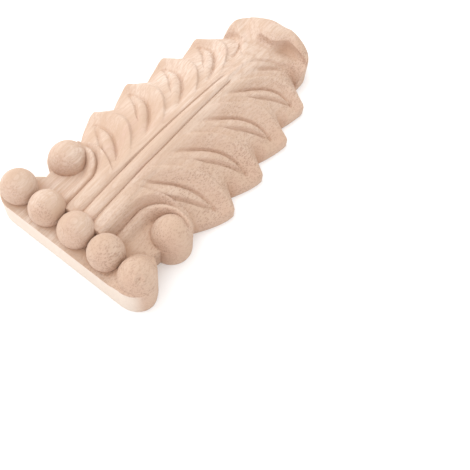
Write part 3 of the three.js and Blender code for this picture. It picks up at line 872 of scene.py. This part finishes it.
bareWood = {
    "light": (0.675, 0.55, 0.465, 1),
    "warm": (0.525, 0.37, 0.272, 1),
    "pink": (0.58, 0.40, 0.33, 1),
    "ring": (0.47, 0.32, 0.235, 1),
    "endGrainAndShade": (0.56, 0.375, 0.285, 1),
    # painted light: the paler colour given to the plate's end face
    "face": (0.76, 0.66, 0.58, 1),
    "pore": (0.35, 0.20, 0.145, 1),
    "paintedCreviceShade": (0.47, 0.27, 0.165, 1),
    "roughness": 0.74,
    "specular": 0.22,
}

# The patterns in the wood. A size counts features per millimetre across, along and through the
# board. A range says from where to where a pattern sets in, and how strong it is at both ends.
grain = {
    "broadSize": (0.07, 0.018, 0.12),
    "broadRange": (0.35, 0.68),
    "blushSize": (0.16, 0.05, 0.2),
    "blushRange": (0.5, 0.75, 0.0, 0.6),
    "paintedRightShadeRange": (-0.016, 0.022, 0.0, 0.7),   # metres across the board; painted shade that turns the colour warmer and darker towards the right
    "ringSpacing": 1.3,                       # millimetres
    "ringTilt": (0.012, 0.01),                # across and along, as shares of the spacing's
    "ringBend": 1.6,
    "ringBendSize": 0.35,
    "ringRange": (0.7, 1.0, 0.0, 0.45),
    "waveLength": 0.31,                       # of the wave texture at scale 1
    "fibreSize": (1.3, 0.05, 1.3),
    "fibreRange": (0.4, 0.62, 0.0, 0.8),
    "poreSize": (2.3, 0.85, 2.3),
    "poreRange": (0.16, 0.56, 1.0, 0.0),
    "patchSize": (0.1, 0.07, 0.1),
    "patchRange": (0.3, 0.68, 0.35, 1.0),
    "cutRange": (0.0, 0.7, 0.12, 0.55),       # pores, by how far the grain is cut across
    "sideRange": (0.0, 0.014, 0.1, 0.65),     # pores, in metres across the board
    "endGrainAndShadeShare": 0.6,
    "paintedCreviceShadeShare": 0.45,
    "paintedEndFaceLightShare": 0.8,
    "bump": 0.6,
    "bumpDepth": 0.35,
}


def bareWoodMaterial():
    material = bpy.data.materials.new("bare wood")
    material.use_nodes = True
    tree = material.node_tree
    shader = tree.nodes["Principled BSDF"]
    shader.inputs["Roughness"].default_value = bareWood["roughness"]
    shader.inputs["Specular IOR Level"].default_value = bareWood["specular"]
    coords = node(tree, "ShaderNodeTexCoord")
    paintedCreviceShade = node(tree, "ShaderNodeAttribute", attribute_name="paintedCreviceShade").outputs["Fac"]
    endGrainAndShade = node(tree, "ShaderNodeAttribute", attribute_name="endGrainAndShade").outputs["Fac"]

    broad = noise(tree, stretched(tree, coords, *grain["broadSize"]), detail=2.0)
    shade = ranged(tree, broad, *grain["broadRange"])
    colour = mixed(tree, shade, bareWood["light"], bareWood["warm"])
    blush = noise(tree, stretched(tree, coords, *grain["blushSize"]))
    colour = mixed(tree, ranged(tree, blush, *grain["blushRange"]), colour, bareWood["pink"])

    # Painted shade: warmer, darker wood towards the right, where less light falls
    across = node(tree, "ShaderNodeSeparateXYZ")
    tree.links.new(coords.outputs["Object"], across.inputs["Vector"])
    paintedRightShade = ranged(tree, across.outputs["X"], *grain["paintedRightShadeRange"])
    colour = mixed(tree, paintedRightShade, colour, bareWood["warm"])

    rings = node(tree, "ShaderNodeTexWave", bands_direction="Z", wave_profile="SAW", Scale=1.0,
                 Distortion=grain["ringBend"], Detail=2.0)
    rings.inputs["Detail Scale"].default_value = grain["ringBendSize"]
    turn = grain["waveLength"] / grain["ringSpacing"]
    tiltAcross, tiltAlong = grain["ringTilt"]
    layers = stretched(tree, coords, tiltAcross * turn, tiltAlong * turn, turn)
    tree.links.new(layers, rings.inputs["Vector"])
    ring = ranged(tree, rings.outputs["Fac"], *grain["ringRange"])
    colour = mixed(tree, ring, colour, bareWood["ring"])

    fibre = noise(tree, stretched(tree, coords, *grain["fibreSize"]), detail=4.0, roughness=0.75)
    colour = mixed(tree, ranged(tree, fibre, *grain["fibreRange"]), colour, bareWood["warm"])
    # End-grain colour: partly real end grain, partly painted shade on surfaces that face the plate and the
    # right
    colour = mixed(tree, times(tree, endGrainAndShade, grain["endGrainAndShadeShare"]), colour, bareWood["endGrainAndShade"])

    cells = node(tree, "ShaderNodeTexVoronoi", Scale=1.0, Randomness=1.0)
    tree.links.new(stretched(tree, coords, *grain["poreSize"]), cells.inputs["Vector"])
    pores = ranged(tree, cells.outputs["Distance"], *grain["poreRange"])
    patchy = noise(tree, stretched(tree, coords, *grain["patchSize"]))
    patches = ranged(tree, patchy, *grain["patchRange"])
    openPores = node(tree, "ShaderNodeMath", operation="MAXIMUM")
    tree.links.new(ranged(tree, endGrainAndShade, *grain["cutRange"]), openPores.inputs[0])
    tree.links.new(ranged(tree, across.outputs["X"], *grain["sideRange"]), openPores.inputs[1])
    shown = times(tree, times(tree, pores, patches), openPores.outputs["Value"])
    colour = mixed(tree, shown, colour, bareWood["pore"])
    # Painted shade: darker, browner wood in the crevices, darker the deeper they lie
    colour = mixed(tree, times(tree, paintedCreviceShade, grain["paintedCreviceShadeShare"]), colour, bareWood["paintedCreviceShade"])
    # Painted light: the plate's end face is painted paler, as if more light fell on it
    paintedLightEndFace = node(tree, "ShaderNodeAttribute", attribute_name="paintedLightEndFace").outputs["Fac"]
    colour = mixed(tree, times(tree, paintedLightEndFace, grain["paintedEndFaceLightShare"]), colour, bareWood["face"])
    tree.links.new(colour, shader.inputs["Base Color"])

    relief = node(tree, "ShaderNodeMath", operation="SUBTRACT")
    tree.links.new(fibre, relief.inputs[0])
    tree.links.new(shown, relief.inputs[1])
    bump = node(tree, "ShaderNodeBump", Strength=grain["bump"], Distance=grain["bumpDepth"] * mm)
    tree.links.new(relief.outputs["Value"], bump.inputs["Height"])
    tree.links.new(bump.outputs["Normal"], shader.inputs["Normal"])
    return material


ground = {
    "size": 4,
    "drop": 0.0001,         # metres below the back, so that the two faces don't flicker
    "colour": (0.94, 0.94, 0.94, 1),
    "roughness": 0.9,
}


def buildFloor():
    bpy.ops.mesh.primitive_plane_add(size=ground["size"], location=(0, 0, -ground["drop"]))
    floor = bpy.context.object
    floor.name = "floor"
    material = bpy.data.materials.new("pale floor")
    material.use_nodes = True
    shader = material.node_tree.nodes["Principled BSDF"]
    shader.inputs["Base Color"].default_value = ground["colour"]
    shader.inputs["Roughness"].default_value = ground["roughness"]
    floor.data.materials.append(material)


studio = {
    "azimuth": 33.33,
    "elevation": 60.478,
    "distance": 0.24425,
    "target": (0.023218, -0.015792, 0.0),
    "roll": 5.259,
    "focalPixels": 721.0,
    "framePixels": 470,
    "middlePixels": (207, 210),     # the middle of the view, which lies towards the photographed piece
    "sensorWidth": 36,
    "clip": (0.01, 20),
    "keyFrom": (-0.72, -0.10, 0.62),
    "keyDistance": 0.7,
    "keyEnergy": 3.7,
    "keySize": 1.1,
    "worldStrength": 1.28,
}


def buildCamera():
    a, e = math.radians(studio["azimuth"]), math.radians(studio["elevation"])
    back = Vector((math.sin(a) * math.cos(e), -math.cos(a) * math.cos(e), math.sin(e)))
    data = bpy.data.cameras.new("camera")
    data.sensor_width = studio["sensorWidth"]
    data.lens = studio["focalPixels"] / studio["framePixels"] * data.sensor_width
    data.clip_start, data.clip_end = studio["clip"]
    data.shift_x = 0.5 - studio["middlePixels"][0] / studio["framePixels"]
    data.shift_y = studio["middlePixels"][1] / studio["framePixels"] - 0.5
    camera = linked("camera", data)
    turn = back.to_track_quat("Z", "Y").to_matrix() @ Matrix.Rotation(math.radians(studio["roll"]), 3, "Z")
    camera.location = Vector(studio["target"]) + back * studio["distance"]
    camera.rotation_euler = turn.to_euler()
    bpy.context.scene.camera = camera


def buildLights():
    data = bpy.data.lights.new("key", "AREA")
    data.energy, data.size = studio["keyEnergy"], studio["keySize"]
    key = linked("key", data)
    away = Vector(studio["keyFrom"]).normalized()
    key.location = away * studio["keyDistance"]
    key.rotation_euler = away.to_track_quat("Z", "Y").to_euler()
    world = bpy.data.worlds.new("studio")
    world.use_nodes = True
    background = world.node_tree.nodes["Background"]
    background.inputs["Color"].default_value = (1, 1, 1, 1)
    background.inputs["Strength"].default_value = studio["worldStrength"]
    bpy.context.scene.world = world
    bpy.context.scene.view_settings.view_transform = "Standard"


buildCamera()
applique = buildApplique()
ringMark(applique)
shadeLightAndGrainMasks(applique)
applique.data.materials.clear()
applique.data.materials.append(bareWoodMaterial())
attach(applique, "root")
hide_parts("carved_applique")
buildFloor()
buildLights()
print("scene built")
